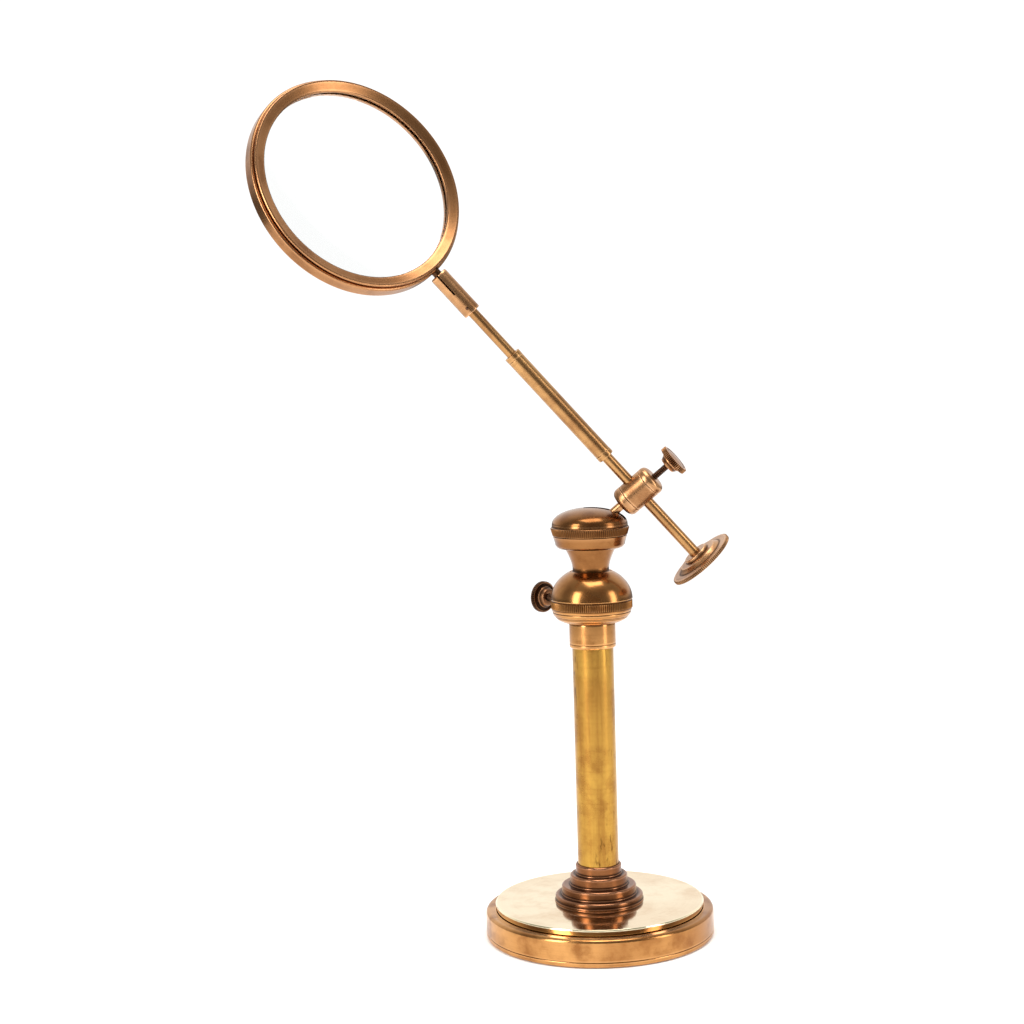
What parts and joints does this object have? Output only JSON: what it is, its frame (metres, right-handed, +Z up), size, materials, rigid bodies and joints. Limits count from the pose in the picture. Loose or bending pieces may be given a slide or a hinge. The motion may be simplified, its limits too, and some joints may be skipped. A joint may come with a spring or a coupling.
{
  "type": "stand magnifier",
  "caption": "Antique brass desk magnifier: weighted round foot, rising column, slotted ball joint, and a counterweighted telescopic arm carrying a large ringed lens.",
  "frame": {"origin": "centre of the underside of the felt pad under the foot", "axes": "+Z up along the column, -Y towards the front, the arm and lens reach towards -X"},
  "size_m": [0.1958, 0.1082, 0.3723],
  "materials": {
    "bronzed_brass": "aged, warm bronzed polish with patchy tarnish",
    "yellow_brass": "yellow brass, worn satin polish",
    "dark_brass": "nearly black brown patina",
    "bare_steel": "bare steel",
    "cast_iron": "rough cast",
    "green_felt": "thick felt",
    "tan_leather": "greased leather",
    "clear_glass": "clear polished optical glass"
  },
  "bodies": {
    "stand": {"felt_pad": "green_felt", "base_weight": "cast_iron", "base_shell": "bronzed_brass", "base_bolt": "bare_steel", "bolt_washer": "bare_steel", "base_collar": "bronzed_brass", "column_plug": "yellow_brass", "column_tube": "yellow_brass", "column_ferrule": "bronzed_brass", "knop": "bronzed_brass", "column_clamp_pad": "yellow_brass"},
    "column_screw": {"column_screw_shank": "dark_brass", "column_screw_head": "dark_brass"},
    "height_tube": {"inner_tube": "yellow_brass", "tube_foot": "yellow_brass", "swivel_screw": "bare_steel"},
    "head": {"neck_socket": "bronzed_brass", "ball_seat": "tan_leather", "slotted_cap": "bronzed_brass"},
    "tilt_ball": {"ball": "dark_brass"},
    "stem_and_barrel": {"stem": "bronzed_brass", "clamp_barrel": "bronzed_brass", "arm_clamp_pad": "yellow_brass"},
    "arm_screw": {"arm_screw_shank": "dark_brass", "arm_screw_head": "bronzed_brass"},
    "arm": {"arm_rod": "yellow_brass", "arm_sleeve": "yellow_brass", "counterweight": "bronzed_brass"},
    "extension": {"extension_rod": "yellow_brass", "lens_ferrule": "bronzed_brass", "ferrule_pin": "dark_brass"},
    "lens_frame": {"lens_stud": "dark_brass", "lens_ring": "bronzed_brass", "lens_bezel": "bronzed_brass", "lens": "clear_glass"}
  },
  "joints": [
    {"name": "column_screw_turn", "type": "hinge", "parent": "stand", "child": "column_screw", "pos_m": [-0.01439, 0.01389, 0.147], "axis": [-0.7193, 0.6947, 0], "range_deg": [0, 1080]},
    {"name": "height_slide", "type": "slide", "parent": "stand", "child": "height_tube", "axis": [0, 0, 1], "range_m": [0, 0.08]},
    {"name": "head_swivel", "type": "hinge", "parent": "height_tube", "child": "head", "pos_m": [0, 0, 0.16], "axis": [0, 0, 1], "continuous": true},
    {"name": "ball_tilt", "type": "hinge", "parent": "head", "child": "tilt_ball", "pos_m": [0, 0, 0.1772], "axis": [0.1736, 0.9848, 0], "range_deg": [-49, 10.5]},
    {"name": "stem_twist", "type": "hinge", "parent": "tilt_ball", "child": "stem_and_barrel", "pos_m": [0, 0, 0.1772], "axis": [0.7577, -0.1336, 0.6388], "continuous": true},
    {"name": "arm_screw_turn", "type": "hinge", "parent": "stem_and_barrel", "child": "arm_screw", "pos_m": [0.03251, -0.00573, 0.2046], "axis": [0.7577, -0.1336, 0.6388], "range_deg": [0, 1080]},
    {"name": "arm_slide", "type": "slide", "parent": "stem_and_barrel", "child": "arm", "axis": [-0.652, -0.1135, 0.7497], "range_m": [-0.013, 0.029]},
    {"name": "arm_telescope", "type": "slide", "parent": "arm", "child": "extension", "axis": [-0.652, -0.1135, 0.7497], "range_m": [-0.024, 0.018]},
    {"name": "lens_swivel", "type": "hinge", "parent": "extension", "child": "lens_frame", "pos_m": [-0.0571, -0.01734, 0.28498], "axis": [-0.652, -0.1135, 0.7497], "continuous": true}
  ]
}
